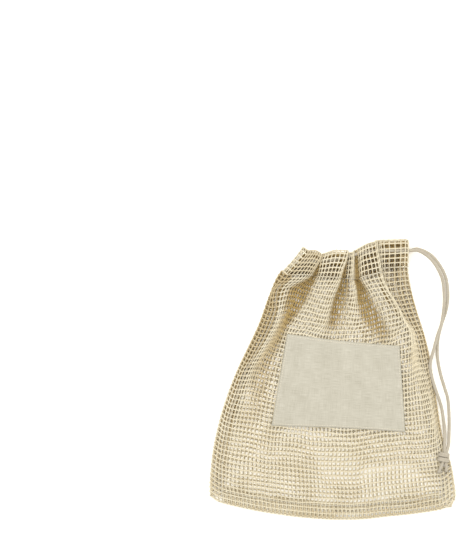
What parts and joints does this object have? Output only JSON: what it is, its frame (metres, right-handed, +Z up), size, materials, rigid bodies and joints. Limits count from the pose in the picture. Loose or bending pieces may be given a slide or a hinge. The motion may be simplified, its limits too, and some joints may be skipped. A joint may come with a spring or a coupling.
{
  "type": "mesh produce bag",
  "caption": "Cotton net drawstring bag lying flat, with a gathered hem casing, a cord that pulls out sideways and closes the mouth, a knot, and a plain muslin label patch.",
  "frame": {"origin": "centre of the bag's outline without its free cord, at the flat underside that it lies on", "axes": "+X across the bag, towards the side where the drawcord leaves; +Y along the bag, from its bottom seam to its mouth; +Z up, from the back panel to the front panel"},
  "size_m": [0.2445, 0.2799, 0.021],
  "materials": {
    "net": "matte unbleached cotton net",
    "hem": "matte doubled cotton net",
    "muslin": "matte plain-woven cotton",
    "thread": "matte cotton sewing thread",
    "cord": "matte twisted cotton cord"
  },
  "bodies": {
    "bag": {"back_net_panel": "net", "front_net_panel": "net", "left_seam_allowance": "hem", "right_seam_allowance": "hem", "bottom_seam_allowance": "hem", "back_casing": "hem", "front_casing": "hem", "casing_left_fold": "hem", "right_mouth_seam": "hem", "label_patch": "muslin", "label_stitching_bottom": "thread", "label_stitching_top": "thread", "label_stitching_left": "thread", "label_stitching_right": "thread", "left_seam_stitching": "thread", "right_seam_stitching": "thread", "bottom_seam_stitching": "thread", "front_casing_stitching": "thread", "back_casing_stitching": "thread", "drawcord_held_run": "cord"},
    "drawcord": {"drawcord_strand_front": "cord", "drawcord_strand_rear": "cord", "drawcord_knot": "cord", "drawcord_tail_front": "cord", "drawcord_tail_rear": "cord"}
  },
  "joints": [
    {"name": "drawcord_pull", "type": "slide", "parent": "bag", "child": "drawcord", "axis": [1, 0, 0], "range_m": [0, 0.035]}
  ]
}
